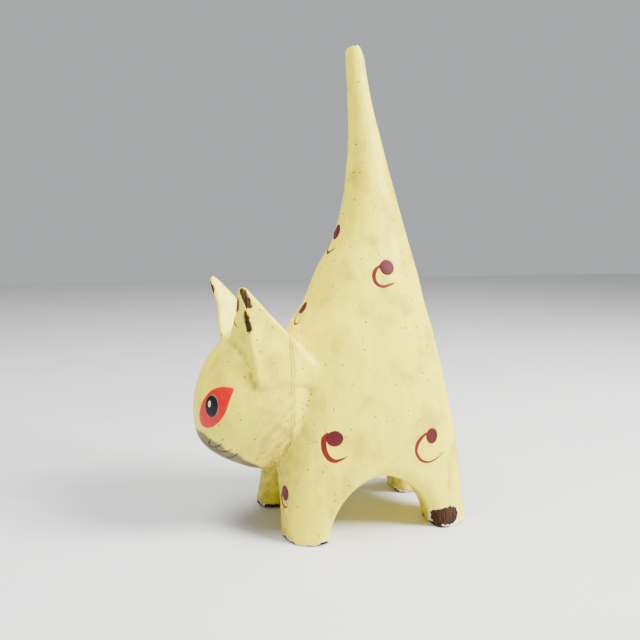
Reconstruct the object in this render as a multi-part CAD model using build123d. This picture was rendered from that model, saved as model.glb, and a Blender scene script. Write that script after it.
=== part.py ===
from build123d import *
import math
import os

os.makedirs("parts", exist_ok=True)

# Carved and painted wooden cat: low at the front, raised behind, tail straight up.
# +Z is up, the cat faces -Y, and its left side is +X. Millimetres.
# Places are first measured from the middle of the four feet, on the floor. At the end the whole cat
# moves so that the origin is the middle of the floor rectangle that it covers.

# ---- overall sizes ----
height = 290.0            # floor to the tip of the tail
half_width = 43.0         # flank to the middle, at the feet
chest_y = -58.0           # front of the front feet
heel_y = 62.5             # back of the hind feet

# ---- body stations ----
# Share of the height, share of the half width, how far the front and the back stand in from
# the feet, and squareness: 2 is an ellipse, and 4 is nearly a rounded square.
sole_rounding = 2.0
tail_tip_rounding = 3.0
stations = [
    (0.00, 1 - sole_rounding / half_width, sole_rounding, sole_rounding, 4.0),
    (sole_rounding / height, 1.00, 0.5, 0.5, 4.0),
    (0.10, 0.99, 1.0, 1.5, 3.7),
    (0.21, 0.95, 4.0, 4.5, 3.2),
    (0.31, 0.86, 6.0, 10.5, 2.8),
    (0.41, 0.75, 12.0, 16.5, 2.5),
    (0.47, 0.67, 22.0, 21.5, 2.4),
    (0.54, 0.56, 30.0, 26.5, 2.3),
    (0.61, 0.435, 41.5, 33.0, 2.2),
    (0.71, 0.306, 48.0, 41.5, 2.1),
    (0.83, 0.198, 50.5, 52.0, 2.0),
    (1 - tail_tip_rounding / height, 0.113, 48.5, 62.5, 2.0),
    (1.00, 0.074, 50.0, 64.0, 2.0),
]
section_points = 24

# ---- legs: what is left between a tunnel along X and a tunnel along Y ----
front_foot_length = 26.5
hind_foot_length = 26.5
foot_width = 27.5
side_arch_height = 36.0
belly_arch_height = 35.0
below_floor = 1.0         # how far the belly tunnel's tool starts under the floor
tool_reach = 4 * height   # every cutting tool and half space goes well past the cat

# ---- head block ----
head_half_width = 33.4
head_half_length = 38.4
head_half_height = 47.5
head_y = -65.4
head_z = 80.9
head_squareness = 2.0
skull_sections = 9
skull_end_angle = 78.0    # the skull's two ends are small flats at this angle from its middle
head_lean = 20.0          # degrees, the skull's long axis leans back from upright
head_turn = 7.5           # degrees, towards the cat's left
turn_y = -48.5            # the upright line that the head turns about
seam_y = -51.5            # the flat joint between the two blocks
jaw_depth = 41.4          # from the skull's middle to the flat under the jaw
jaw_slope = 23.7          # degrees, the flat rises towards the nose
nape_depth = 36.0         # from the skull's middle to the flat down the nape
nape_slope = 47.0         # degrees, the flat falls towards the tail

# ---- ears, in the head's own place before it turns ----
left_ear_tip = (25.0, -86.0, 151.0)
right_ear_tip = (-25.0, -87.5, 153.0)
ear_tip_size = 4.0
ear_root_z = 96.0
ear_root = [(-3.5, -84.5), (33.0, -77.5), (31.0, -33.5), (3.0, -34.5)]   # front first, inner corner first

# ---- neck joint ----
dowel_diameter = 10.0
dowel_depth = 20.0        # into each block
dowel_end_room = 1.0      # for glue, past each end
dowel_z = 80.0
dowel_chamfer = 1.0
filler_depth = 9.0        # how far the putty reaches back along the body


def section(half_x, front, back, squareness, z):
    """A closed superellipse at height z, symmetrical about X = 0."""
    middle = (front + back) / 2
    half_y = (back - front) / 2
    points = []
    for i in range(section_points):
        angle = 2 * math.pi * (i + 0.5) / section_points
        c, s = math.cos(angle), math.sin(angle)
        x = half_x * math.copysign(abs(c) ** (2 / squareness), c)
        y = middle + half_y * math.copysign(abs(s) ** (2 / squareness), s)
        points.append(Vector(x, y, z))
    shares = [i / section_points for i in range(section_points + 1)]
    return Wire([Edge.make_spline(points, periodic=True, parameters=shares)])


def carved_block():
    """Torso and tail as one smooth block that reaches down to the floor."""
    wires = []
    for share_z, share_x, from_chest, from_heel, squareness in stations:
        front = chest_y + from_chest
        back = heel_y - from_heel
        wires.append(section(share_x * half_width, front, back, squareness, share_z * height))
    return Solid.make_loft(wires)


def side_arch():
    """The opening from flank to flank: half an ellipse that stands between the front and hind feet."""
    front = chest_y + front_foot_length
    back = heel_y - hind_foot_length
    profile = Plane.YZ * Pos((front + back) / 2, 0) * Ellipse((back - front) / 2, side_arch_height)
    return extrude(profile, tool_reach, both=True)


def belly_arch():
    """The opening from front to back, between the left and right legs."""
    half = half_width - foot_width
    spring_z = belly_arch_height - half
    walls = Polyline((-half, spring_z), (-half, -below_floor), (half, -below_floor), (half, spring_z))
    crown = ThreePointArc((half, spring_z), (0, belly_arch_height), (-half, spring_z))
    return extrude(Plane.XZ * make_face([walls, crown]), tool_reach, both=True)


def beyond(slope, depth):
    """All the space further than depth from the skull's middle, along a line slope degrees past +Y."""
    half_space = Pos(0, depth + tool_reach / 2, 0) * Box(tool_reach, tool_reach, tool_reach)
    return Pos(0, head_y, head_z) * Rot(slope, 0, 0) * half_space


def skull():
    """The egg that the head is carved to, leaning back, with flats under the jaw and down the nape."""
    wires = []
    for i in range(skull_sections):
        angle = math.radians(skull_end_angle) * (2 * i / (skull_sections - 1) - 1)
        size = math.cos(angle)
        half_y = head_half_length * size
        z = head_half_height * math.sin(angle) / math.sin(math.radians(skull_end_angle))
        wires.append(section(head_half_width * size, -half_y, half_y, head_squareness, z))
    egg = Pos(0, head_y, head_z) * Rot(-head_lean, 0, 0) * Solid.make_loft(wires)
    return egg - beyond(-90 - jaw_slope, jaw_depth) - beyond(90 - nape_slope, nape_depth)


def ear(side, tip):
    """One ear: a leaning pyramid that stands in the skull. Side is 1 on the left and -1 on the right."""
    half = ear_tip_size / 2
    x, y, z = tip
    root = [Vector(side * root_x, root_y, ear_root_z) for root_x, root_y in ear_root]
    top = [
        Vector(x - side * half, y - half, z),
        Vector(x + side * half, y - half, z),
        Vector(x + side * half, y + half, z),
        Vector(x - side * half, y + half, z),
    ]
    return Solid.make_loft([Wire.make_polygon(root), Wire.make_polygon(top)], ruled=True)


def turned(shape):
    """The shape turned with the head, about the upright line where the neck meets the seam."""
    return Pos(0, turn_y, 0) * Rot(0, 0, head_turn) * Pos(0, -turn_y, 0) * shape


def behind_seam():
    """All the space on the body's side of the joint."""
    return Pos(0, seam_y + tool_reach / 2, 0) * Box(tool_reach, tool_reach, tool_reach)


def dowel(end_room, chamfered):
    """The neck dowel along Y, or with some end room the hole for it."""
    length = 2 * (dowel_depth + end_room)
    peg = Cylinder(dowel_diameter / 2, length)
    if chamfered:
        peg = chamfer(peg.edges().filter_by(GeomType.CIRCLE), dowel_chamfer)
    return Pos(0, seam_y, dowel_z) * Rot(90, 0, 0) * peg


def neck_filler(skull_turned, block):
    """The putty ring: the skull's round carried on past the seam, down to the body."""
    collar = Pos(0, seam_y + filler_depth / 2, head_z) * Box(tool_reach, filler_depth, tool_reach)
    return (skull_turned & collar) - block


legged_block = carved_block() - side_arch() - belly_arch()
skull_turned = turned(skull())
head_whole = skull_turned + turned(ear(1, left_ear_tip)) + turned(ear(-1, right_ear_tip))
dowel_hole = dowel(dowel_end_room, chamfered=False)

head = head_whole - behind_seam() - dowel_hole
body = legged_block - head - dowel_hole
pieces = {
    "body": body,
    "head": head,
    "neck_dowel": dowel(0, chamfered=True),
    "neck_filler": neck_filler(skull_turned, legged_block),
}

# The origin goes to the middle of the floor rectangle that the cat covers.
box = (body + head).bounding_box()
to_origin = Pos(-box.center().X, -box.center().Y, -box.min.Z)
for name, piece in pieces.items():
    export_step(to_origin * piece, f"parts/{name}.step")
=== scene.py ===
"""A carved and painted wooden cat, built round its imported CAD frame.

The shapes are written in millimetres in the carver's frame: +Z up, the cat faces -Y, its left side is
+X, and Y is measured from the middle of the four feet. row() turns such points into the row frame.
"""
import math

import bmesh
import bpy
import numpy as np
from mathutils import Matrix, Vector


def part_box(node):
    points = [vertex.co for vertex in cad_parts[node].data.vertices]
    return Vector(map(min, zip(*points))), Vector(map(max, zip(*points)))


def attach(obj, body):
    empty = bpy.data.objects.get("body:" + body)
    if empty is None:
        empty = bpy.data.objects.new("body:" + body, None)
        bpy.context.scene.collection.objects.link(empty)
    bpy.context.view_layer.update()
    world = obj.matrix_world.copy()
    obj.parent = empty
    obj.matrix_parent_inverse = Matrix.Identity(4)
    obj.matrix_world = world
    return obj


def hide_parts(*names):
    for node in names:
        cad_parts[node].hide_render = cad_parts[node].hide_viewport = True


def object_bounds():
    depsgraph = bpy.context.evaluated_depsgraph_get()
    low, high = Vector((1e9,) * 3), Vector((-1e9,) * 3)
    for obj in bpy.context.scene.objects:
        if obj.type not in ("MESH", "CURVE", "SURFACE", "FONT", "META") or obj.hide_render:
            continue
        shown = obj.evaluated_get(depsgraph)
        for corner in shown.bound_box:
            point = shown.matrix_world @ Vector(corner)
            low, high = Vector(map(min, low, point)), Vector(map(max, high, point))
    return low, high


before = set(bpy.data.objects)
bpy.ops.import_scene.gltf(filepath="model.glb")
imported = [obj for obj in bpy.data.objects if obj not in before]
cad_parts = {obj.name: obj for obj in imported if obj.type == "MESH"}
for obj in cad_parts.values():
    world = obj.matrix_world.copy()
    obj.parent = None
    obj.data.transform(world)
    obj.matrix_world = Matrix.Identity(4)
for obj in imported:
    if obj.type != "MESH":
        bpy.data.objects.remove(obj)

CAD_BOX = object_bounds()
MM = 0.001

# ---- sizes, in millimetres, that the CAD parts share ----
SEAM_Y = -51.5
TURN_Y = -48.5
HEAD_MIDDLE = np.array([0.0, -65.4, 80.9])
HEAD_HALF = np.array([33.4, 38.4, 47.5])
HEAD_LEAN = math.radians(20.0)
HEAD_TURN = math.radians(7.5)
HEIGHT = (CAD_BOX[1].z - CAD_BOX[0].z) / MM

DOWEL_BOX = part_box("neck_dowel")
Y_SHIFT = (DOWEL_BOX[0].y + DOWEL_BOX[1].y) / 2 / MM - SEAM_Y


def row(points):
    """Carver's millimetres to metres in the row frame."""
    return (np.asarray(points, float) + (0.0, Y_SHIFT, 0.0)) * MM


# ---------------------------------------------------------------- fields
# A field is negative in the wood, zero on the surface, and close to a distance near it.

def smooth_min(a, b, width):
    """The union of two fields, with a fillet about as wide as width."""
    h = np.clip(0.5 + 0.5 * (b - a) / width, 0, 1)
    return b + (a - b) * h - width * h * (1 - h)


def smooth_max(a, b, width):
    """The intersection of two fields, with a rounded edge."""
    return -smooth_min(-a, -b, width)


def smooth_curve(knots, values):
    """A smooth curve through the knots that adds no bump of its own, as a function of the knot's value."""
    x, y = np.asarray(knots, float), np.asarray(values, float)
    step = np.diff(x)
    slope = np.diff(y) / step
    tangent = np.zeros_like(y)
    tangent[0], tangent[-1] = slope[0], slope[-1]
    for i in range(1, len(x) - 1):
        if slope[i - 1] * slope[i] > 0:
            w1 = 2 * step[i] + step[i - 1]
            w2 = step[i] + 2 * step[i - 1]
            tangent[i] = (w1 + w2) / (w1 / slope[i - 1] + w2 / slope[i])

    def at(q):
        i = np.clip(np.searchsorted(x, q) - 1, 0, len(step) - 1)
        t = np.clip((q - x[i]) / step[i], 0, 1)
        return (y[i] * (1 + 2 * t) * (1 - t) ** 2 + step[i] * tangent[i] * t * (1 - t) ** 2
                + y[i + 1] * t * t * (3 - 2 * t) + step[i] * tangent[i + 1] * t * t * (t - 1))

    return at


# Height, half width, front, back and squareness of the body: 2 is an ellipse, 4 nearly a rounded square.
# These stations, and the head's, the ears' and the camera's values, were fitted to the reference
# picture by a helper script, then rounded and adjusted by hand.
BODY_STATIONS = [
    (0, 43.5, -58.0, 62.5, 5.0),
    (30, 42.3, -57.8, 61.3, 4.0),
    (60, 40.5, -54.5, 58.2, 3.2),
    (90, 37.0, -52.0, 52.5, 2.8),
    (119, 32.0, -46.2, 46.0, 2.5),
    (136, 28.5, -35.8, 41.0, 2.4),
    (156, 24.0, -27.5, 35.8, 2.3),
    (177, 18.5, -16.5, 29.6, 2.2),
    (205, 13.0, -9.9, 21.3, 2.1),
    (241, 8.3, -7.6, 10.8, 2.0),
    (270, 6.0, -9.0, 3.6, 2.0),
    (290, 4.8, -10.0, 0.0, 2.0),
]
STATION_HEIGHTS = [station[0] for station in BODY_STATIONS]
BODY_CURVES = [smooth_curve(STATION_HEIGHTS, [station[k] for station in BODY_STATIONS]) for k in (1, 2, 3, 4)]

ARCH_MIDDLE_Y = 2.0
ARCH_HALF_SPAN = 33.5
ARCH_HEIGHT = 35.0
ARCH_POWER = 1.8          # a little more pointed than an ellipse
BELLY_HALF_SPAN = 15.5
BELLY_HEIGHT = 37.0
BELLY_POWER = 3.0
ARCHES_BLEND = 7.0        # how wide the two tunnels' own edges are blended
LEG_EDGE = 10.0           # how wide the edge from the flank into a tunnel is rounded
SOLE_EDGE = 1.2
LEG_ZONE = 60.0           # the front legs' lean fades out up to this height, and back to the middle
FRONT_SPLAY = 0.05        # how much wider the front feet stand
FRONT_SKEW = 0.035        # how much further forward the right front foot stands than the left
RIGHT_FOOT_LEAD = 4.0     # and a step forward of its own
TAIL_TIP_ZONE = 25.0


def radial(u, v, reach_u, reach_v, power):
    """Distance along the ray from the middle of a superellipse to its edge."""
    g = (np.abs(u / reach_u) ** power + np.abs(v / reach_v) ** power) ** (1 / power)
    r = np.hypot(u, v)
    return r * (1 - 1 / np.maximum(g, 1e-3))


def tail_tip(p):
    """Two rough saw cuts that leave the tail's end like a low roof."""
    apex = np.array([0.0, -4.5, HEIGHT])
    front = (p - apex) @ (np.array([0.10, -0.50, 0.86]))
    back = (p - apex) @ (np.array([-0.05, 0.80, 0.60]))
    return smooth_max(front, back, 0.6)


def body_field(p):
    """Torso, tail and legs."""
    x, y, z = p[:, 0], p[:, 1], p[:, 2]
    half_x, front, back, power = (curve(z) for curve in BODY_CURVES)
    ahead = np.clip(1 - z / LEG_ZONE, 0, 1) * np.clip(-y / LEG_ZONE, 0, 1)
    y = y - FRONT_SKEW * ahead * x + RIGHT_FOOT_LEAD * ahead * np.clip(-x / 30, 0, 1)
    x = x / (1 + FRONT_SPLAY * ahead)
    d = radial(x, y - (front + back) / 2, half_x, (back - front) / 2, power)
    side = radial(y - ARCH_MIDDLE_Y, z, ARCH_HALF_SPAN, ARCH_HEIGHT, ARCH_POWER)
    belly = radial(x, z, BELLY_HALF_SPAN, BELLY_HEIGHT, BELLY_POWER)
    low = z < 80
    tunnels = smooth_min(side, belly, ARCHES_BLEND)
    d = np.where(low, smooth_max(d, -tunnels, LEG_EDGE), d)
    d = smooth_max(d, -z, SOLE_EDGE)
    return np.where(z > HEIGHT - TAIL_TIP_ZONE, smooth_max(d, tail_tip(p), 1.0), d)


def unturned(p):
    """Points as the head saw them before it was turned."""
    c, s = math.cos(-HEAD_TURN), math.sin(-HEAD_TURN)
    x, y = p[:, 0], p[:, 1] - TURN_Y
    return np.stack([c * x - s * y, s * x + c * y + TURN_Y, p[:, 2]], 1)


def turned(p):
    """The opposite of unturned."""
    c, s = math.cos(HEAD_TURN), math.sin(HEAD_TURN)
    x, y = p[:, 0], p[:, 1] - TURN_Y
    return np.stack([c * x - s * y, s * x + c * y + TURN_Y, p[:, 2]], 1)


def plane_through(a, b, c, inside):
    """A unit normal and offset of the plane through three points, pointing away from inside."""
    a, b, c, inside = (np.asarray(v, float) for v in (a, b, c, inside))
    normal = np.cross(b - a, c - a)
    normal /= np.linalg.norm(normal)
    if (inside - a) @ normal > 0:
        normal = -normal
    return normal, a @ normal


# An ear is a leaning pyramid: the corners of its root, on the level EAR_ROOT_Z, and its tip.
EAR_ROOT_Z = 96.0
EAR_ROOT = [(-4.0, -86.5), (33.0, -77.0), (31.0, -33.5), (3.0, -34.5)]
EAR_TIPS = {1: np.array([25.3, -84.8, 153.8]), -1: np.array([-25.0, -88.5, 157.0])}
EAR_EDGE = 2.6            # how wide an ear's edges are rounded
DISH_RADIUS = 22.2        # the hollow in an ear's front face
DISH_STAND_OFF = 21.0
EAR_BLEND = 0.8           # the fillet between an ear and the skull


def ear_field(p, side):
    """One ear in the head's own frame; side is 1 on the left and -1 on the right."""
    tip = EAR_TIPS[side]
    corners = [np.array([side * x, y, EAR_ROOT_Z]) for x, y in EAR_ROOT]
    inside = sum(corners) / 4 + (0, 0, 10)
    d = None
    for i in range(4):
        normal, offset = plane_through(corners[i], corners[(i + 1) % 4], tip, inside)
        face = p @ normal - offset
        if i == 0:
            middle = (corners[0] * 0.4 + corners[1] * 0.6) * 0.55 + tip * 0.45 + normal * DISH_STAND_OFF
            dish = DISH_RADIUS - np.linalg.norm((p - middle) * (1.0, 1.0, 0.55), axis=1)
            face = smooth_max(face, dish, 1.5)
        d = face if d is None else smooth_max(d, face, EAR_EDGE)
    return smooth_max(d, EAR_ROOT_Z - 6.0 - p[:, 2], 6.0)


NAPE_POINT = np.array([0.0, -50.0, 117.5])
NAPE_NORMAL = np.array([0.0, 0.734, 0.679])
JAW_POINT = np.array([0.0, -82.0, 43.0])
JAW_NORMAL = np.array([0.0, -0.402, -0.916])
NAPE_EDGE = 4.0
JAW_EDGE = 9.0


def skull_field(q):
    """The skull before its turn: an ellipsoid leaning back, cut flat under the jaw and down the nape."""
    w = q - HEAD_MIDDLE
    c, s = math.cos(HEAD_LEAN), math.sin(HEAD_LEAN)
    level = np.stack([w[:, 0], c * w[:, 1] - s * w[:, 2], s * w[:, 1] + c * w[:, 2]], 1)
    g = np.linalg.norm(level / HEAD_HALF, axis=1)
    d = np.linalg.norm(w, axis=1) * (1 - 1 / np.maximum(g, 1e-3))
    d = smooth_max(d, (q - NAPE_POINT) @ NAPE_NORMAL, NAPE_EDGE)
    return smooth_max(d, (q - JAW_POINT) @ JAW_NORMAL, JAW_EDGE)


def head_field(p):
    """Skull and both ears."""
    q = unturned(p)
    d = skull_field(q)
    for side in (1, -1):
        d = smooth_min(d, ear_field(q, side), EAR_BLEND)
    return d


NECK_FILLET = 3.6
SEAM_INSET = 3.0          # the joint runs this far outside the line where the two blocks' surfaces meet


def head_field_near(p):
    """The head's field where the head can matter, and a large value elsewhere."""
    near = (p[:, 1] < -8) & (p[:, 2] < 175)
    d = np.full(len(p), 60.0)
    d[near] = head_field(p[near])
    return d


def cat_field(p):
    """The whole cat, with the putty's fillet between head and body."""
    return smooth_min(body_field(p), head_field_near(p), NECK_FILLET)


def seam_side(p):
    """Negative in the head's wood and positive in the body's, zero along the glued joint."""
    return np.maximum(p[:, 1] - SEAM_Y, head_field_near(p) - body_field(p) + SEAM_INSET)


def wobble(p, size, seed):
    """Smooth noise, mostly between -1 and 1, with waves about size millimetres long."""
    random = np.random.default_rng(seed)
    total = np.zeros(len(p))
    for _ in range(7):
        direction = random.normal(size=3)
        direction *= 2 * math.pi * random.uniform(0.7, 1.5) / (size * np.linalg.norm(direction))
        total += np.sin(p @ direction + random.uniform(0, 2 * math.pi))
    return total / 3.5


# ---------------------------------------------------------------- wear, dirt and painted shade
# Paint knocked off: the two ends of each bruise, its half width, and how wide the gesso shows round it.
CHIPS = [
    ((38.5, 38.4, 7.0), (41.2, 46.2, 7.4), 5.8, 1.3),        # left hind foot
    ((30.2, -80.0, 149.0), (31.0, -75.9, 138.8), 2.3, 0),    # left ear, upper
    ((31.0, -79.4, 132.6), (32.6, -77.4, 126.2), 3.3, 0),    # left ear, lower
    ((29.0, -80.0, 152.0), (29.0, -80.0, 152.0), 1.6, 0),    # left ear's tip
    ((-19.3, -91.0, 153.6), (-19.3, -91.0, 153.6), 2.4, 0),  # right ear's tip
    ((0.0, -4.0, 291.0), (0.0, -4.0, 291.0), 5.4, 0.3),      # tail's tip
    ((27.0, -58.5, 0.0), (43.0, -56.0, 0.0), 2.3, 0.7),      # left front sole, front edge
    ((45.5, -50.0, 0.0), (44.5, -36.0, 0.0), 2.2, 0.7),      # left front sole, outer edge
    ((-23.0, -63.5, 1.0), (-36.0, -65.0, 0.5), 3.6, 0.8),    # right front foot
    ((-17.0, -57.5, 0.5), (-16.5, -49.0, 0.0), 2.6, 0.8),    # right front foot, inner edge
    ((-19.0, -61.0, 15.0), (-19.0, -61.0, 19.0), 1.8, 0),      # right front leg, lower
    ((-19.0, -60.5, 23.5), (-19.0, -60.5, 26.5), 1.4, 0),      # right front leg, upper
    ((-30.0, 62.0, 0.5), (-41.0, 55.0, 0.5), 2.6, 0.8),      # right hind sole
]
CHIP_DEPTH = 0.55
WEAR_REACH = 4.0
SOLE_WEAR = 1.7


def chip_distances(p):
    """Distances to the ragged edges of bare wood and of gesso, negative inside; far points get 1000."""
    wood, ground = np.full(len(p), 1e3), np.full(len(p), 1e3)
    for start, end, radius, rim in CHIPS:
        start, end = np.array(start), np.array(end)
        reach = np.abs(end - start).max() / 2 + radius + WEAR_REACH
        near = np.flatnonzero(np.abs(p - (start + end) / 2).max(1) < reach)
        if len(near) == 0:
            continue
        q, along = p[near], end - start
        t = np.clip((q - start) @ along / max(along @ along, 1e-9), 0, 1)
        d = np.linalg.norm(q - start - t[:, None] * along, axis=1) - radius
        ragged = min(radius / 4, 1)
        d += ragged * (0.55 * wobble(q, 3.2, 11) + 0.3 * wobble(q, 1.3, 12))
        wood[near] = np.minimum(wood[near], d)
        if rim == 0:
            continue
        lower = np.clip(0.55 - 0.8 * (q[:, 2] - (start[2] + end[2]) / 2) / radius, 0.0, 1.3)
        ground[near] = np.minimum(ground[near], d - rim * (lower + 0.35 * wobble(q, 4.0, 13)))
    low = np.flatnonzero(np.abs(p[:, 2]) < WEAR_REACH)
    scuff = p[low, 2] - SOLE_WEAR * (0.35 + wobble(p[low], 11.0, 20) + 0.3 * wobble(p[low], 2.2, 22))
    wood[low] = np.minimum(wood[low], scuff)
    ground[low] = np.minimum(ground[low], scuff - 0.7)
    return wood, ground


def covered(distance):
    """A mask that is one inside a ragged edge and zero outside."""
    return np.clip(0.5 - distance / 0.3, 0, 1)


def bare_wood(p):
    """One where a bruise goes through to the wood."""
    return covered(chip_distances(p)[0])


def gesso(p):
    """The white ground that shows round a bruise, wider on its lower side."""
    return covered(chip_distances(p)[1])


def worn_field(p):
    """The finished surface: the knife's slight waves, and the bruises through paint and gesso."""
    d = waved_field(p)
    wood, ground = chip_distances(p)
    near = np.minimum(wood, ground) < 1.0
    q = p[near]
    ridges = 0.2 * np.sin(q[:, 1] * 3.2 + 1.5 * wobble(q, 6.0, 14))
    to_gesso = 0.35 * CHIP_DEPTH * covered(ground[near])
    to_wood = (CHIP_DEPTH + ridges) * covered(wood[near])
    d[near] += np.maximum(to_gesso, to_wood)
    return d


def waved_field(p):
    """The cat with the knife's slight waves and no bruises."""
    return cat_field(p) + 0.16 * wobble(p, 26.0, 15) + 0.05 * wobble(p, 9.0, 16)


def grime_and_shade(p):
    """Dirt rubbed into the joint, and painted shade with some dirt on the cheeks, under the jaw, inside the
    arches, round the soles and along the ear roots.
    """
    side = seam_side(p)
    joint = 0.45 * np.exp(-np.abs(side) / 2.5)
    # The throat, cheek, inside, sole and ear-root terms are painted shade: they darken the paint where shade
    # falls under the jaw, on the head's side, in the arches, at the floor and in the ear creases, along with
    # some real dirt.
    throat = 0.6 * np.exp(-np.abs(side) / 10.0) * np.clip((82 - p[:, 2]) / 25, 0, 1)
    below_ears = np.clip((112 - p[:, 2]) / 20, 0, 1)
    cheek = 0.4 * np.clip((side + 34) / 14, 0, 1) * np.clip(-side / 2, 0, 1) * below_ears
    inside = 0.6 * np.clip((36 - np.abs(p[:, 0])) / 8, 0, 1) * np.clip((48 - p[:, 2]) / 20, 0, 1)
    sole = 0.8 * np.exp(-np.clip(p[:, 2], 0, None) / 1.2)
    ear_root = 0.8 * np.exp(-ear_front_gap(p) / 1.3)
    patchy = 0.8 + 0.45 * wobble(p, 7.0, 17) + 0.2 * wobble(p, 3.0, 19)
    return np.clip((joint + throat + cheek + inside + sole + ear_root) * patchy, 0, 1)


def ear_front_gap(p):
    """Small where an ear's hollow front runs into the forehead."""
    q = unturned(p)
    gap = np.full(len(p), 1e3)
    for side in (1, -1):
        gap = np.minimum(gap, np.abs(ear_field(q, side)) + np.abs(skull_field(q)))
    return gap + 20 * (q[:, 1] > EAR_ROOT[1][1])


def muzzle(p):
    """One on the grey underside of the face and zero above it."""
    q = unturned(p)
    edge = 44.5 + 0.68 * (-72 - q[:, 1]) + 0.7 * wobble(p, 8.0, 18)
    return np.clip((edge - q[:, 2]) / 1.6, 0, 1) * (seam_side(p) < -1)


# ---------------------------------------------------------------- meshes from fields

def surface_net(field, low, high, cell):
    """Quads on the zero surface of a field: (points, faces)."""
    low, high = np.asarray(low, float), np.asarray(high, float)
    count = np.ceil((high - low) / cell).astype(int) + 1
    block = 4
    coarse = [np.arange(0, count[k] + block - 1, block) for k in range(3)]
    xyz = np.stack(np.meshgrid(*(low[k] + cell * coarse[k] for k in range(3)), indexing="ij"), -1)
    rough = field(xyz.reshape(-1, 3)).reshape(xyz.shape[:3])
    nearest = [np.clip(np.rint(np.arange(count[k]) / block).astype(int), 0, len(coarse[k]) - 1)
               for k in range(3)]
    values = rough[np.ix_(*nearest)].astype(np.float32)
    close = np.argwhere(np.abs(values) < 3.2 * cell * block / 2 + 1.5)
    for i in range(0, len(close), 400000):
        part = close[i:i + 400000]
        values[tuple(part.T)] = field(low + cell * part)
    inside = values < 0
    corner = np.zeros(count - 1, np.int8)
    for dx, dy, dz in np.ndindex(2, 2, 2):
        corner += inside[dx:count[0] - 1 + dx, dy:count[1] - 1 + dy, dz:count[2] - 1 + dz]
    active = (corner > 0) & (corner < 8)
    cells = np.argwhere(active)
    index = np.full(count - 1, -1, np.int64)
    index[active] = np.arange(len(cells))
    total = np.zeros((len(cells), 3))
    hits = np.zeros(len(cells))
    for axis in range(3):
        step = np.eye(3, dtype=int)[axis]
        others = [k for k in range(3) if k != axis]
        for a, b in np.ndindex(2, 2):
            start = cells.copy()
            start[:, others[0]] += a
            start[:, others[1]] += b
            v0 = values[tuple(start.T)]
            v1 = values[tuple((start + step).T)]
            cross = (v0 < 0) != (v1 < 0)
            t = np.where(cross, v0 / np.where(cross, v0 - v1, 1), 0)
            total[cross] += (start + t[:, None] * step)[cross]
            hits += cross
    points = low + cell * total / hits[:, None]
    faces = []
    for axis in range(3):
        n1, n2 = [(1, 2), (2, 0), (0, 1)][axis]
        lead = [slice(None)] * 3
        lead[axis] = slice(0, count[axis] - 1)
        tail = list(lead)
        tail[axis] = slice(1, count[axis])
        first, second = inside[tuple(lead)], inside[tuple(tail)]
        edges = np.argwhere(first != second)
        edges = edges[(edges[:, n1] > 0) & (edges[:, n2] > 0)
                      & (edges[:, n1] < count[n1] - 1) & (edges[:, n2] < count[n2] - 1)]
        outward = first[tuple(edges.T)]
        ring = []
        for a, b in ((0, 0), (-1, 0), (-1, -1), (0, -1)):
            at = edges.copy()
            at[:, n1] += a
            at[:, n2] += b
            ring.append(index[tuple(at.T)])
        ring = np.stack(ring, 1)
        faces.append(np.where(outward[:, None], ring, ring[:, ::-1]))
    return points, np.concatenate(faces)


def gradient(field, points, step=0.15):
    """The field's unit normal, and its slope, at each point."""
    g = np.stack([field(points + d) - field(points - d) for d in np.eye(3) * step], 1) / (2 * step)
    slope = np.linalg.norm(g, axis=1, keepdims=True)
    return g / np.maximum(slope, 1e-6), slope[:, 0]


def settle(field, points, rounds=3):
    """Moves points onto the field's zero surface."""
    for _ in range(rounds):
        normal, slope = gradient(field, points)
        move = field(points) / np.maximum(slope, 0.3)
        points = points - normal * np.clip(move, -1, 1)[:, None]
    return points


def refined(points, faces, wanted, rounds):
    """Splits the faces near wanted points in four, as often as rounds says."""
    bm = bmesh.new()
    for p in points:
        bm.verts.new(p)
    bm.verts.ensure_lookup_table()
    for face in faces:
        bm.faces.new([bm.verts[i] for i in face])
    for _ in range(rounds):
        near = wanted(np.array([v.co[:] for v in bm.verts]))
        edges = {e for v, hit in zip(list(bm.verts), near) if hit for f in v.link_faces for e in f.edges}
        edges = sorted(edges, key=lambda e: e.index)
        bmesh.ops.subdivide_edges(bm, edges=edges, cuts=1, use_grid_fill=True)
        bm.verts.index_update()
        bm.edges.index_update()
    points = np.array([v.co[:] for v in bm.verts])
    faces = [[v.index for v in f.verts] for f in bm.faces]
    bm.free()
    return points, faces


def mesh_object(name, points, faces, materials=(), masks=()):
    """A smooth-shaded mesh in the row frame, from carver's points, with a named mask at each point."""
    mesh = bpy.data.meshes.new(name)
    mesh.from_pydata(row(points).tolist(), [], faces.tolist() if hasattr(faces, "tolist") else faces)
    mesh.update()
    mesh.polygons.foreach_set("use_smooth", [True] * len(mesh.polygons))
    piece = bpy.data.objects.new(name, mesh)
    bpy.context.scene.collection.objects.link(piece)
    for material in materials:
        mesh.materials.append(material)
    for mask in masks:
        layer = mesh.attributes.new(mask.__name__, "FLOAT", "POINT")
        layer.data.foreach_set("value", mask(points).astype(np.float32))
    return piece


# ---------------------------------------------------------------- paint laid on the wood

PAINT_DEPTH = 0.12
ROOT_DEPTH = 0.35


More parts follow.
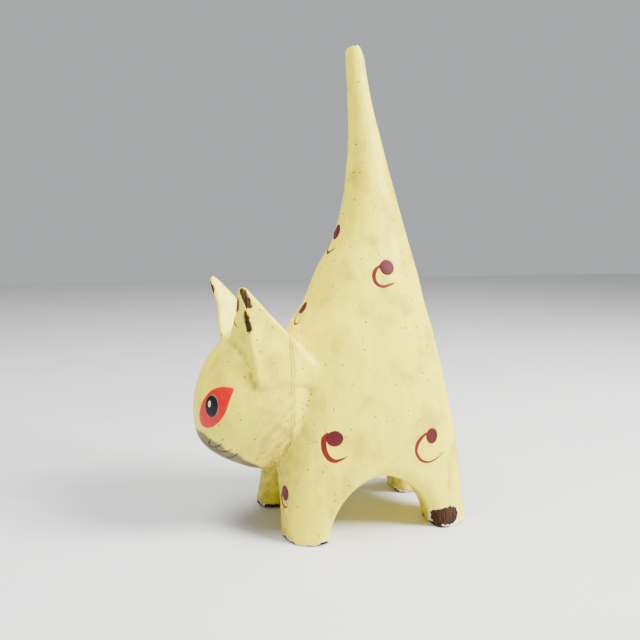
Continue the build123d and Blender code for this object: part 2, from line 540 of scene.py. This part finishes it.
class Spot:
    """A flat frame resting on the surface at a point: u to the right, v up, normal outward."""

    def __init__(self, point, mirrored=False):
        self.flip = -1.0 if mirrored else 1.0
        self.origin = settle(waved_field, np.array([point], float), 6)[0]
        self.normal = gradient(waved_field, self.origin[None])[0][0]
        up = np.array([0.0, 0.0, 1.0]) - self.normal * self.normal[2]
        self.v = up / np.linalg.norm(up)
        self.u = np.cross(self.v, self.normal)

    def lay(self, uv, lift):
        """Drops flat points onto the surface along the frame's normal, then lifts them."""
        uv = np.asarray(uv, float)
        p = self.origin + self.flip * uv[:, :1] * self.u + uv[:, 1:] * self.v + 6 * self.normal
        travel = np.zeros(len(p))
        for _ in range(20):
            gap = worn_field(p - self.normal * travel[:, None])
            travel = np.minimum(travel + 0.8 * np.clip(gap, -1, 4), 16)
        p = settle(worn_field, p - self.normal * travel[:, None], 6)
        return p + self.normal * np.asarray(lift, float)[:, None]


class Coat:
    """One object made of closed skins of paint."""

    def __init__(self):
        self.points = []
        self.faces = []
        self.count = 0

    def add(self, top, bottom, grid, rim, flipped):
        """A skin from two copies of the same points, joined along the rim."""
        n = len(top)
        faces = [tuple(f) for f in grid]
        faces += [tuple(i + n for i in reversed(f)) for f in grid]
        faces += [(rim[k - 1], rim[k - 1] + n, rim[k] + n, rim[k]) for k in range(len(rim))]
        if flipped:
            faces = [tuple(reversed(f)) for f in faces]
        self.faces += [tuple(i + self.count for i in f) for f in faces]
        self.points += [top, bottom]
        self.count += 2 * n

    def blob(self, spot, outline, layer=0):
        """A filled outline that can be seen whole from its middle."""
        outline = np.asarray(outline, float)
        middle = outline.mean(0)
        shares = (0.12, 0.3, 0.48, 0.66, 0.82, 0.95, 1.0)
        count = len(outline)
        uv = np.concatenate([[middle]] + [middle + (outline - middle) * share for share in shares])
        lift = np.full(len(uv), PAINT_DEPTH * (1 + layer))
        lift[-count:] = PAINT_DEPTH * (layer + 0.1)
        grid = [(0, 1 + k, 1 + (k + 1) % count) for k in range(count)]
        for ring in range(len(shares) - 1):
            a, b = 1 + ring * count, 1 + (ring + 1) * count
            for k in range(count):
                grid.append((a + k, b + k, b + (k + 1) % count, a + (k + 1) % count))
        rim = [1 + (len(shares) - 1) * count + k for k in range(count)]
        self.add(spot.lay(uv, lift), spot.lay(uv, np.full(len(uv), -ROOT_DEPTH)), grid, rim, spot.flip < 0)

    def stroke(self, spot, path, layer=0):
        """A brush stroke through (u, v, width) points."""
        path = np.asarray(path, float)
        length = np.concatenate([[0], np.cumsum(np.linalg.norm(np.diff(path[:, :2], axis=0), axis=1))])
        steps = max(int(length[-1] / 0.45), 6)
        at = np.linspace(0, length[-1], steps)
        u, v, width = (natural_curve(length, path[:, k])(at) for k in range(3))
        width = np.clip(width, 0.12, None)
        run = np.stack([np.gradient(u), np.gradient(v)], 1)
        run /= np.linalg.norm(run, axis=1, keepdims=True)
        side = np.stack([-run[:, 1], run[:, 0]], 1)
        across = np.array([-0.5, -0.42, -0.2, 0.0, 0.2, 0.42, 0.5])
        spread = side[:, None] * (across[:, None] * width[:, None, None])
        uv = (np.stack([u, v], 1)[:, None] + spread).reshape(-1, 2)
        edge = np.tile(np.where(np.abs(across) > 0.45, 0.1, 1.0), steps)
        m = len(across)
        edge[:m] = 0.1
        edge[-m:] = 0.1
        grid = [(i * m + j, i * m + m + j, i * m + m + j + 1, i * m + j + 1)
                for i in range(steps - 1) for j in range(m - 1)]
        grid = [tuple(reversed(f)) for f in grid]
        rim = ([i * m for i in range(steps)] + [(steps - 1) * m + j for j in range(1, m)]
               + [i * m + m - 1 for i in range(steps - 2, -1, -1)] + [j for j in range(m - 2, 0, -1)])
        rim = rim if cross2(uv[m] - uv[0], uv[1] - uv[0]) < 0 else rim[::-1]
        self.add(spot.lay(uv, PAINT_DEPTH * (layer + edge)), spot.lay(uv, np.full(len(uv), -ROOT_DEPTH)),
                 grid, rim, spot.flip < 0)

    def finish(self, name, material):
        """The coat as one painted piece."""
        piece = mesh_object(name, np.concatenate(self.points), self.faces, [material])
        bm = bmesh.new()
        bm.from_mesh(piece.data)
        bmesh.ops.recalc_face_normals(bm, faces=bm.faces)
        bm.to_mesh(piece.data)
        bm.free()
        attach(piece, "root")
        return piece


def cross2(a, b):
    """The cross product of two flat vectors."""
    return a[0] * b[1] - a[1] * b[0]


def natural_curve(knots, values):
    """A Catmull-Rom curve through the knots."""
    x, y = np.asarray(knots, float), np.asarray(values, float)
    slope = np.gradient(y, x)

    def at(q):
        i = np.clip(np.searchsorted(x, q) - 1, 0, len(x) - 2)
        h = x[i + 1] - x[i]
        t = (q - x[i]) / h
        return ((1 + 2 * t) * (1 - t) ** 2 * y[i] + t * (1 - t) ** 2 * h * slope[i]
                + t * t * (3 - 2 * t) * y[i + 1] + t * t * (t - 1) * h * slope[i + 1])

    return at


def oval(middle, half_u, half_v, lean=0.0, count=44):
    """An oval outline, its top leaning to the right by an angle in degrees."""
    a = np.linspace(0, 2 * math.pi, count, endpoint=False)
    u, v = half_u * np.cos(a), half_v * np.sin(a)
    c, s = math.cos(math.radians(lean)), math.sin(math.radians(lean))
    return np.stack([middle[0] + c * u + s * v, middle[1] - s * u + c * v], 1)


def closed_curve(points, per_side=7):
    """A smooth closed outline through a few points."""
    points = np.asarray(points, float)
    ring = np.concatenate([points[-2:], points, points[:3]])
    knots = np.arange(len(ring))
    at = np.linspace(2, 2 + len(points), len(points) * per_side, endpoint=False)
    return np.stack([natural_curve(knots, ring[:, k])(at) for k in (0, 1)], 1)


# ---- the curled marks ----
# The visible side's places and outlines, here and in the face below, were measured on the reference
# picture by a helper script and then adjusted by hand. The right side's are guesses of the same kinds.
# A stroke is a list of (u, v, width) round its dot's middle.
CURL_BROAD = [(-3.6, 3.4, 1.4), (-5.8, 0.8, 2.8), (-6.4, -4.0, 3.3), (-5.3, -8.4, 3.1), (-3.1, -11.4, 2.8),
              (0.4, -12.9, 2.2), (3.4, -12.2, 1.4), (7.7, -10.4, 0.2)]
CURL_WIDE = [(-3.6, 2.2, 1.2), (-8.2, -1.1, 2.3), (-10.5, -4.5, 2.3), (-11.1, -8.0, 1.9), (-9.5, -12.0, 1.8),
             (-6.9, -14.4, 1.6), (-2.4, -15.4, 1.2), (1.5, -14.6, 1.0), (5.8, -12.5, 0.6), (9.3, -10.1, 0.15)]
CURL_TIGHT = [(-3.8, 1.4, 1.5), (-7.5, -1.7, 2.3), (-8.7, -5.5, 2.6), (-8.0, -8.6, 2.3), (-5.9, -10.7, 2.1),
              (-3.4, -11.5, 1.8), (-0.3, -10.9, 1.5), (2.4, -10.1, 1.1), (4.8, -9.2, 0.2)]
CURL_TAIL = [(-4.6, 1.0, 1.0), (-6.6, -3.6, 1.5), (-5.8, -9.0, 1.6), (-3.0, -12.6, 1.9), (0.4, -13.7, 2.0),
             (3.1, -12.2, 1.4), (6.0, -10.2, 0.3)]
CURL_CHEST = [(-4.0, -0.8, 0.8), (-4.2, -3.6, 1.0), (-3.0, -6.6, 1.0), (0.0, -9.2, 1.1), (4.3, -11.0, 1.4),
              (6.6, -9.4, 0.8), (7.2, -6.2, 0.2)]
CURL_SMALL = [(-3.0, -0.4, 1.2), (-3.9, -2.6, 1.7), (-3.2, -5.3, 1.6), (-1.6, -7.7, 1.5), (0.7, -8.4, 1.3),
              (3.0, -7.1, 0.4)]
CURL_EAR = [(-4.8, -7.6, 0.3), (-5.2, -9.6, 0.9), (-4.3, -11.8, 0.8), (-2.5, -13.1, 0.3)]

# A mark is its place, its dot's half sizes and lean, and its stroke.
LEFT_MARKS = [
    ((1.4, -15.7, 179.4), (3.9, 4.9, 0), CURL_TAIL),
    ((23.3, 8.7, 158.5), (4.6, 4.7, 0), CURL_TIGHT),
    ((2.2, -37.2, 133.4), (3.9, 4.2, 10), CURL_CHEST),
    ((38.5, -28.4, 61.5), (5.0, 4.5, 0), CURL_BROAD),
    ((38.8, 32.6, 58.0), (4.1, 4.7, 8), CURL_WIDE),
    ((27.0, -55.1, 27.7), (3.3, 4.4, -8), CURL_SMALL),
]
RIGHT_MARKS = [
    ((-22.0, 10.0, 160.0), (4.6, 4.7, 0), CURL_TIGHT),
    ((-38.5, -27.0, 63.0), (4.6, 4.5, 0), CURL_BROAD),
    ((-38.5, 31.0, 60.0), (4.3, 4.5, 0), CURL_WIDE),
    ((-31.0, -4.0, 112.0), (4.4, 4.4, 0), CURL_BROAD),
    ((-28.0, -56.0, 29.0), (3.0, 4.0, 8), CURL_SMALL),
    ((-3.0, 24.0, 196.0), (4.0, 4.8, 0), CURL_TAIL),
    ((4.0, 52.0, 98.0), (4.4, 4.6, 0), CURL_BROAD),
]

# Place, whether it is mirrored, and its stroke.
EAR_MARKS = [((20.0, -85.4, 138.4), False, CURL_EAR), ((-22.6, -87.4, 145.5), True, None)]


def add_marks(dot_paint, curl_paint):
    """Every curled mark: the strokes as one piece and the dots over them as another."""
    dots, curls = Coat(), Coat()
    for marks, mirrored in ((LEFT_MARKS, False), (RIGHT_MARKS, True)):
        for place, (half_u, half_v, lean), curl in marks:
            spot = Spot(place, mirrored)
            curls.stroke(spot, curl)
            dots.blob(spot, oval((0, 0), half_u, half_v, lean), layer=1)
    for place, mirrored, curl in EAR_MARKS:
        spot = Spot(turned(np.array([place]))[0], mirrored)
        if curl:
            curls.stroke(spot, curl)
        dots.blob(spot, oval((0, 0), 2.1, 4.8, 28), layer=1)
    dots.finish("mark_dots", dot_paint)
    curls.finish("mark_curls", curl_paint)


EYE_AT = np.array([17.3, -98.8, 82.0])
EYE_OUTLINE = [(12.6, 11.1), (8.5, 11.6), (4.6, 11.2), (0.8, 9.9), (-2.4, 8.0), (-7.4, 2.1), (-10.2, -4.4),
               (-10.4, -10.0), (-8.2, -12.6), (-4.0, -13.2), (1.2, -11.4), (5.9, -7.4), (9.1, -2.4),
               (10.6, 2.8), (11.7, 7.4)]
MUZZLE_AT = np.array([19.5, -95.1, 62.0])
MOUTH = [
    [(-5.8, 0.9, 0.2), (-7.7, -1.6, 0.8), (-9.0, -4.4, 1.0), (-7.6, -5.6, 0.9), (-5.0, -5.2, 0.9),
     (-1.7, -3.6, 0.8), (1.2, -1.2, 0.3)],
    [(-5.0, -5.0, 0.4), (-3.0, -7.4, 0.9), (0.4, -7.7, 0.9), (3.7, -6.6, 0.7), (7.0, -4.8, 0.2)],
    [(-0.6, -11.4, 0.4), (1.9, -12.2, 0.9), (4.7, -11.3, 0.8), (7.3, -9.7, 0.7), (9.5, -7.8, 0.2)],
]
LIP = [(-16.2, -2.2, 0.3), (-12.2, -4.6, 0.5), (-8.8, -6.8, 0.7), (-3.6, -9.3, 0.7), (0.8, -12.2, 0.6),
       (4.6, -15.4, 0.2)]


def add_face(red, halo, black, light, ink):
    """Both eyes and the mouth, on the left and mirrored on the right."""
    patches, halos, pupils, lights, lines = Coat(), Coat(), Coat(), Coat(), Coat()
    for side in (1, -1):
        mirror = np.array([side, 1, 1])
        spot = Spot(turned((EYE_AT * mirror)[None])[0], side < 0)
        patches.blob(spot, closed_curve(EYE_OUTLINE))
        halos.blob(spot, oval((-0.3, -0.2), 5.1, 6.7, 2), layer=1)
        pupils.blob(spot, oval((-0.3, -0.2), 4.5, 6.1, 2), layer=2)
        lights.blob(spot, oval((-1.6, 1.0), 1.0, 1.8, 0), layer=3)
        spot = Spot(turned((MUZZLE_AT * mirror)[None])[0], side < 0)
        for path in MOUTH:
            lines.stroke(spot, path)
        lines.stroke(spot, LIP)
    patches.finish("eye_patches", red)
    halos.finish("eye_halos", halo)
    pupils.finish("pupils", black)
    lights.finish("eye_lights", light)
    lines.finish("mouth_lines", ink)


# ---------------------------------------------------------------- materials

def srgb(r, g, b):
    """A screen colour, 0 to 255, as the linear values Blender works in."""
    def linear(c):
        return ((c / 255 + 0.055) / 1.055) ** 2.4 if c > 10 else c / 255 / 12.92

    return (linear(r), linear(g), linear(b), 1.0)


class Recipe:
    """Builds one procedural material out of small steps."""

    def __init__(self, name):
        self.material = bpy.data.materials.new(name)
        self.material.use_nodes = True
        self.nodes = self.material.node_tree.nodes
        self.links = self.material.node_tree.links
        self.shader = self.nodes["Principled BSDF"]
        self.place = self.nodes.new("ShaderNodeTexCoord").outputs["Object"]

    def put(self, value, socket):
        """Sets a socket to a constant, or links it."""
        if isinstance(value, bpy.types.NodeSocket):
            self.links.new(value, socket)
        else:
            socket.default_value = value

    def stretched(self, stretch, shift):
        """The object's own coordinates, stretched and moved."""
        mapping = self.nodes.new("ShaderNodeMapping")
        mapping.inputs["Scale"].default_value = stretch
        mapping.inputs["Location"].default_value = (shift, shift * 0.7, shift * 1.3)
        self.links.new(self.place, mapping.inputs["Vector"])
        return mapping.outputs["Vector"]

    def noise(self, size, stretch=(1, 1, 1), detail=3.0, shift=0.0):
        """Noise of a given grain in millimetres, around one half."""
        node = self.nodes.new("ShaderNodeTexNoise")
        node.inputs["Scale"].default_value = 1 / (size * MM)
        node.inputs["Detail"].default_value = detail
        self.links.new(self.stretched(stretch, shift), node.inputs["Vector"])
        return node.outputs["Fac"]

    def spots(self, spacing, radius, share, stretch=(1, 1, 1), shift=0.0):
        """Round specks of a given radius in a share of the cells of a loose grid."""
        node = self.nodes.new("ShaderNodeTexVoronoi")
        node.inputs["Scale"].default_value = 1 / (spacing * MM)
        self.links.new(self.stretched(stretch, shift), node.inputs["Vector"])
        disc = self.band(node.outputs["Distance"], radius / spacing * 1.3, radius / spacing * 0.7)
        chosen = self.combine("LESS_THAN", self.red(node.outputs["Color"]), share)
        return self.combine("MULTIPLY", disc, chosen)

    def red(self, colour):
        node = self.nodes.new("ShaderNodeSeparateColor")
        self.links.new(colour, node.inputs["Color"])
        return node.outputs["Red"]

    def mask(self, name):
        """One of the masks stored on the mesh."""
        node = self.nodes.new("ShaderNodeAttribute")
        node.attribute_name = name
        return node.outputs["Fac"]

    def combine(self, operation, a, b):
        """Two values combined by one of the Math node's operations."""
        node = self.nodes.new("ShaderNodeMath")
        node.operation = operation
        self.put(a, node.inputs[0])
        self.put(b, node.inputs[1])
        return node.outputs[0]

    def band(self, value, low, high, to_low=0.0, to_high=1.0):
        """The value between low and high, stretched over a new range."""
        node = self.nodes.new("ShaderNodeMapRange")
        self.links.new(value, node.inputs["Value"])
        for name, number in zip(("From Min", "From Max", "To Min", "To Max"), (low, high, to_low, to_high)):
            node.inputs[name].default_value = number
        return node.outputs["Result"]

    def mix(self, factor, a, b):
        node = self.nodes.new("ShaderNodeMix")
        node.data_type = "RGBA"
        self.put(factor, node.inputs["Factor"])
        self.put(a, node.inputs[6])
        self.put(b, node.inputs[7])
        return node.outputs[2]

    def bump(self, height, depth, strength=1.0):
        """Relief of a depth in millimetres."""
        node = self.nodes.new("ShaderNodeBump")
        node.inputs["Distance"].default_value = depth * MM
        node.inputs["Strength"].default_value = strength
        self.links.new(height, node.inputs["Height"])
        self.links.new(node.outputs["Normal"], self.shader.inputs["Normal"])

    def finish(self, colour, roughness, specular=0.3):
        """Links the colour and roughness to the shader and returns the material."""
        self.put(colour, self.shader.inputs["Base Color"])
        self.put(roughness, self.shader.inputs["Roughness"])
        self.shader.inputs["Specular IOR Level"].default_value = specular
        return self.material


CREAM = srgb(252, 242, 34)
CREAM_DEEP = srgb(244, 226, 34)
TAN = srgb(172, 132, 34)
OLIVE = srgb(52, 42, 16)
DIRT_AND_SHADE = srgb(132, 106, 56)
WOOD_DARK = srgb(16, 8, 3)
WOOD_LIGHT = srgb(70, 36, 13)
# A dirt brown that also serves as painted shade.
GESSO_WHITE = srgb(244, 242, 236)
MUZZLE_GREY = srgb(64, 50, 50)


def cream_paint(name, dirtier=0.0):
    """Old cream paint over knife-cut wood, worn through to gesso and bare wood at the bruises."""
    r = Recipe(name)
    streaks = r.noise(5.0, (1, 1, 0.12), 4.0)
    clouds = r.noise(16.0, detail=4.0, shift=0.3)
    fine = r.noise(1.4, detail=4.0, shift=0.7)
    scratches = r.combine("MULTIPLY", r.band(r.noise(2.6, (1, 1, 0.1), 5.0, 1.1), 0.62, 0.68),
                          r.band(r.noise(22.0, shift=0.9), 0.48, 0.6))
    holes = r.spots(3.0, 0.55, 0.18)
    specks = r.combine("MULTIPLY", r.spots(1.6, 0.27, 0.22, shift=0.5), r.band(clouds, 0.45, 0.6))
    colour = r.mix(r.band(streaks, 0.35, 0.7), CREAM, CREAM_DEEP)
    colour = r.mix(r.band(clouds, 0.5, 0.76, 0.0, 0.6 + dirtier), colour, TAN)
    colour = r.mix(r.band(scratches, 0.0, 1.0, 0.0, 0.4), colour, TAN)
    # Painted shade with some dirt: the paint darkens towards a dirt brown in the joint, on the cheeks, under
    # the jaw, in the arches, at the soles and in the ear creases.
    rubbed_dirt_and_shade = r.combine("MULTIPLY", r.mask("grime_and_shade"), r.band(fine, 0.3, 0.65, 0.6, 1.0))
    colour = r.mix(r.band(rubbed_dirt_and_shade, 0.0, 1.0, 0.0, 0.85), colour, DIRT_AND_SHADE)
    colour = r.mix(r.band(r.mask("muzzle"), 0.0, 1.0, 0.0, 0.88), colour, MUZZLE_GREY)
    pits = r.combine("MAXIMUM", holes, specks)
    colour = r.mix(r.band(pits, 0.0, 1.0, 0.0, 0.8), colour, OLIVE)
    colour = r.mix(r.mask("gesso"), colour, GESSO_WHITE)
    grain = r.noise(1.1, (1, 1, 0.1), 3.0, 0.2)
    wood = r.mix(r.band(grain, 0.35, 0.65), WOOD_DARK, WOOD_LIGHT)
    colour = r.mix(r.mask("bare_wood"), colour, wood)
    bare = r.combine("MAXIMUM", r.mask("gesso"), r.mask("bare_wood"))
    gloss = r.combine("ADD", r.band(fine, 0.3, 0.7, 0.34, 0.46), r.band(bare, 0.0, 1.0, 0.0, 0.4))
    brushed = r.combine("ADD", r.band(fine, 0.3, 0.7, 0.0, 0.16), r.band(streaks, 0.3, 0.7, 0.0, 0.3))
    r.bump(r.combine("SUBTRACT", brushed, pits), 0.28, 0.7)
    return r.finish(colour, gloss)


def brush_paint(name, colour, deep, roughness=0.38):
    """One brushed colour with darker drag marks and a few worn specks."""
    r = Recipe(name)
    drag = r.noise(2.2, (1, 1, 0.4), 3.0)
    worn = r.spots(3.5, 0.25, 0.2, shift=0.4)
    mixed = r.mix(r.band(drag, 0.35, 0.68), colour, deep)
    mixed = r.mix(r.band(worn, 0.0, 1.0, 0.0, 0.5), mixed, TAN)
    r.bump(r.combine("SUBTRACT", drag, worn), 0.1, 0.6)
    return r.finish(mixed, r.band(drag, 0.3, 0.7, roughness - 0.05, roughness + 0.08))


def dowel_wood():
    """Turned hardwood: rings along Y and fine pores."""
    r = Recipe("dowel_wood")
    grain = r.noise(1.6, (1, 0.08, 1), 4.0)
    pores = r.spots(1.2, 0.12, 0.5, (1, 0.2, 1))
    colour = r.mix(r.band(grain, 0.3, 0.7), srgb(196, 150, 96), srgb(150, 104, 60))
    colour = r.mix(r.band(pores, 0.0, 1.0, 0.0, 0.6), colour, WOOD_DARK)
    r.bump(grain, 0.1, 0.6)
    return r.finish(colour, r.band(grain, 0.3, 0.7, 0.55, 0.7))


# ---------------------------------------------------------------- camera, lights, floor

CAMERA_AT = (376.9, -137.5, 173.65)
CAMERA_PITCH = math.radians(7.0)
CAMERA_HEADING = math.radians(16.5)
CAMERA_LENS = 36.0
FLOOR_HALF = 2.5          # metres


def add_camera():
    """The reference picture's view: the heading is measured from -X towards +Y, the pitch downwards."""
    data = bpy.data.cameras.new("camera")
    data.sensor_width = 36.0
    data.lens = CAMERA_LENS
    data.clip_start = 0.01
    data.clip_end = 20.0
    camera = bpy.data.objects.new("camera", data)
    bpy.context.scene.collection.objects.link(camera)
    camera.location = row([CAMERA_AT])[0]
    flat = math.cos(CAMERA_PITCH)
    ahead = -math.cos(CAMERA_HEADING) * flat
    across = math.sin(CAMERA_HEADING) * flat
    look = Vector((ahead, across, -math.sin(CAMERA_PITCH)))
    camera.rotation_mode = "QUATERNION"
    camera.rotation_quaternion = look.to_track_quat("-Z", "Y")
    bpy.context.scene.camera = camera


def add_floor():
    """A wide pale table top with a faint grain of its own."""
    mesh = bpy.data.meshes.new("floor")
    corners = [(-FLOOR_HALF, -FLOOR_HALF, 0), (FLOOR_HALF, -FLOOR_HALF, 0),
               (FLOOR_HALF, FLOOR_HALF, 0), (-FLOOR_HALF, FLOOR_HALF, 0)]
    mesh.from_pydata(corners, [], [(0, 1, 2, 3)])
    floor = bpy.data.objects.new("floor", mesh)
    floor.location.z = -0.0001
    bpy.context.scene.collection.objects.link(floor)
    r = Recipe("pale_floor")
    cloud = r.noise(60.0, detail=4.0)
    colour = r.mix(cloud, (0.66, 0.67, 0.67, 1), (0.71, 0.71, 0.70, 1))
    mesh.materials.append(r.finish(colour, r.band(cloud, 0.3, 0.7, 0.42, 0.5)))


def add_area_light(name, at, aim, size, power, colour=(1, 1, 1)):
    """A round soft light; places and size in metres, power in watts."""
    data = bpy.data.lights.new(name, "AREA")
    data.shape = "DISK"
    data.size = size
    data.energy = power
    data.color = colour
    lamp = bpy.data.objects.new(name, data)
    lamp.location = at
    lamp.rotation_mode = "QUATERNION"
    lamp.rotation_quaternion = (Vector(aim) - Vector(at)).to_track_quat("-Z", "Y")
    bpy.context.scene.collection.objects.link(lamp)


def add_lights():
    """An even pale surround, a warm key from behind the cat's left side and a soft light from above."""
    world = bpy.data.worlds.new("studio")
    world.use_nodes = True
    world.node_tree.nodes["Background"].inputs["Color"].default_value = (0.96, 0.98, 1.0, 1)
    world.node_tree.nodes["Background"].inputs["Strength"].default_value = 0.5
    bpy.context.scene.world = world
    add_area_light("key", (0.5, 0.75, 0.9), (0, 0, 0.12), 0.45, 54.0, (1.0, 0.98, 0.94))
    add_area_light("top", (0.1, -0.35, 1.3), (0, 0, 0.1), 0.7, 26.0)


# ---------------------------------------------------------------- the pieces

GAP = 0.03                # clearance between the pieces at the joint
EDGE = 0.1                # how wide a cut edge is rounded
DOWEL_CLEARANCE = 0.1
DOWEL_END_ROOM = 1.0
FILLER_HALF_WIDTH = 0.9
FILLER_DEPTH = 8.0
CELL = 1.0
DOWEL_RADIUS = (DOWEL_BOX[1].z - DOWEL_BOX[0].z) / 2 / MM
DOWEL_REACH = (DOWEL_BOX[1].y - DOWEL_BOX[0].y) / 2 / MM
DOWEL_Z = (DOWEL_BOX[1].z + DOWEL_BOX[0].z) / 2 / MM
MASKS = (grime_and_shade, gesso, bare_wood, muzzle)


def filler_zone(p):
    """Negative in the ring of putty that fills the joint from outside."""
    wander = 0.7 * wobble(p, 16.0, 21)
    return np.maximum(np.abs(seam_side(p) + wander) - FILLER_HALF_WIDTH, -FILLER_DEPTH - cat_field(p))


def dowel_hole(p):
    """Negative in the hole that the neck dowel sits in."""
    return np.maximum(np.hypot(p[:, 0], p[:, 2] - DOWEL_Z) - DOWEL_RADIUS - DOWEL_CLEARANCE,
                      np.abs(p[:, 1] - SEAM_Y) - DOWEL_REACH - DOWEL_END_ROOM)


def body_share(p):
    """Negative where the body's wood may be."""
    return np.maximum(np.maximum(GAP - seam_side(p), GAP - filler_zone(p)), GAP - dowel_hole(p))


def head_share(p):
    """Negative where the head's wood may be."""
    return np.maximum(np.maximum(GAP + seam_side(p), GAP - filler_zone(p)), GAP - dowel_hole(p))


def putty_share(p):
    """Negative where the putty may be."""
    return np.maximum(filler_zone(p), GAP - dowel_hole(p))


def carved(name, share, low, high, material, node):
    """One piece: the part of the waved cat where share is negative, then bruised at full detail."""
    def rough(p):
        return smooth_max(waved_field(p), share(p), EDGE)

    def finished(p):
        return smooth_max(worn_field(p), share(p), EDGE)

    def busy(p):
        joint = np.abs(np.abs(seam_side(p)) - FILLER_HALF_WIDTH) < 1.3
        return (np.minimum(*chip_distances(p)) < 1.2) | (joint & (waved_field(p) > -1.5))

    points, faces = surface_net(rough, low, high, CELL)
    points = settle(finished, points)
    points, faces = refined(points, faces, busy, 2)
    points = settle(finished, points, 4)
    piece = mesh_object(name, points, faces, [material], MASKS)
    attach(piece, "root")
    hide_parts(node)
    return piece


add_camera()
add_floor()
add_lights()

cream = cream_paint("cream_paint")
putty = cream_paint("painted_putty", 0.1)
carved("carved_body", body_share, (-50, -66, -2), (50, 66, HEIGHT + 3), cream, "body")
carved("carved_head", head_share, (-42, -110, 24), (46, -40, 160), cream, "head")
carved("putty_ring", putty_share, (-42, -80, 24), (42, -38, 134), putty, "neck_filler")

add_marks(brush_paint("maroon_paint", srgb(86, 10, 22), srgb(64, 6, 14)),
          brush_paint("red_brown_paint", srgb(118, 14, 14), srgb(88, 8, 8)))
add_face(brush_paint("eye_red", srgb(214, 2, 2), srgb(186, 0, 2), 0.32),
         brush_paint("eye_halo", srgb(160, 84, 74), srgb(134, 60, 54)),
         brush_paint("pupil_black", srgb(16, 20, 26), srgb(8, 10, 14), 0.3),
         brush_paint("eye_light", srgb(240, 230, 190), srgb(220, 206, 160)),
         brush_paint("mouth_ink", srgb(22, 16, 16), srgb(12, 8, 8)))

dowel = bpy.data.objects["neck_dowel"]
wood = dowel_wood()
for slot in dowel.material_slots:
    slot.material = wood
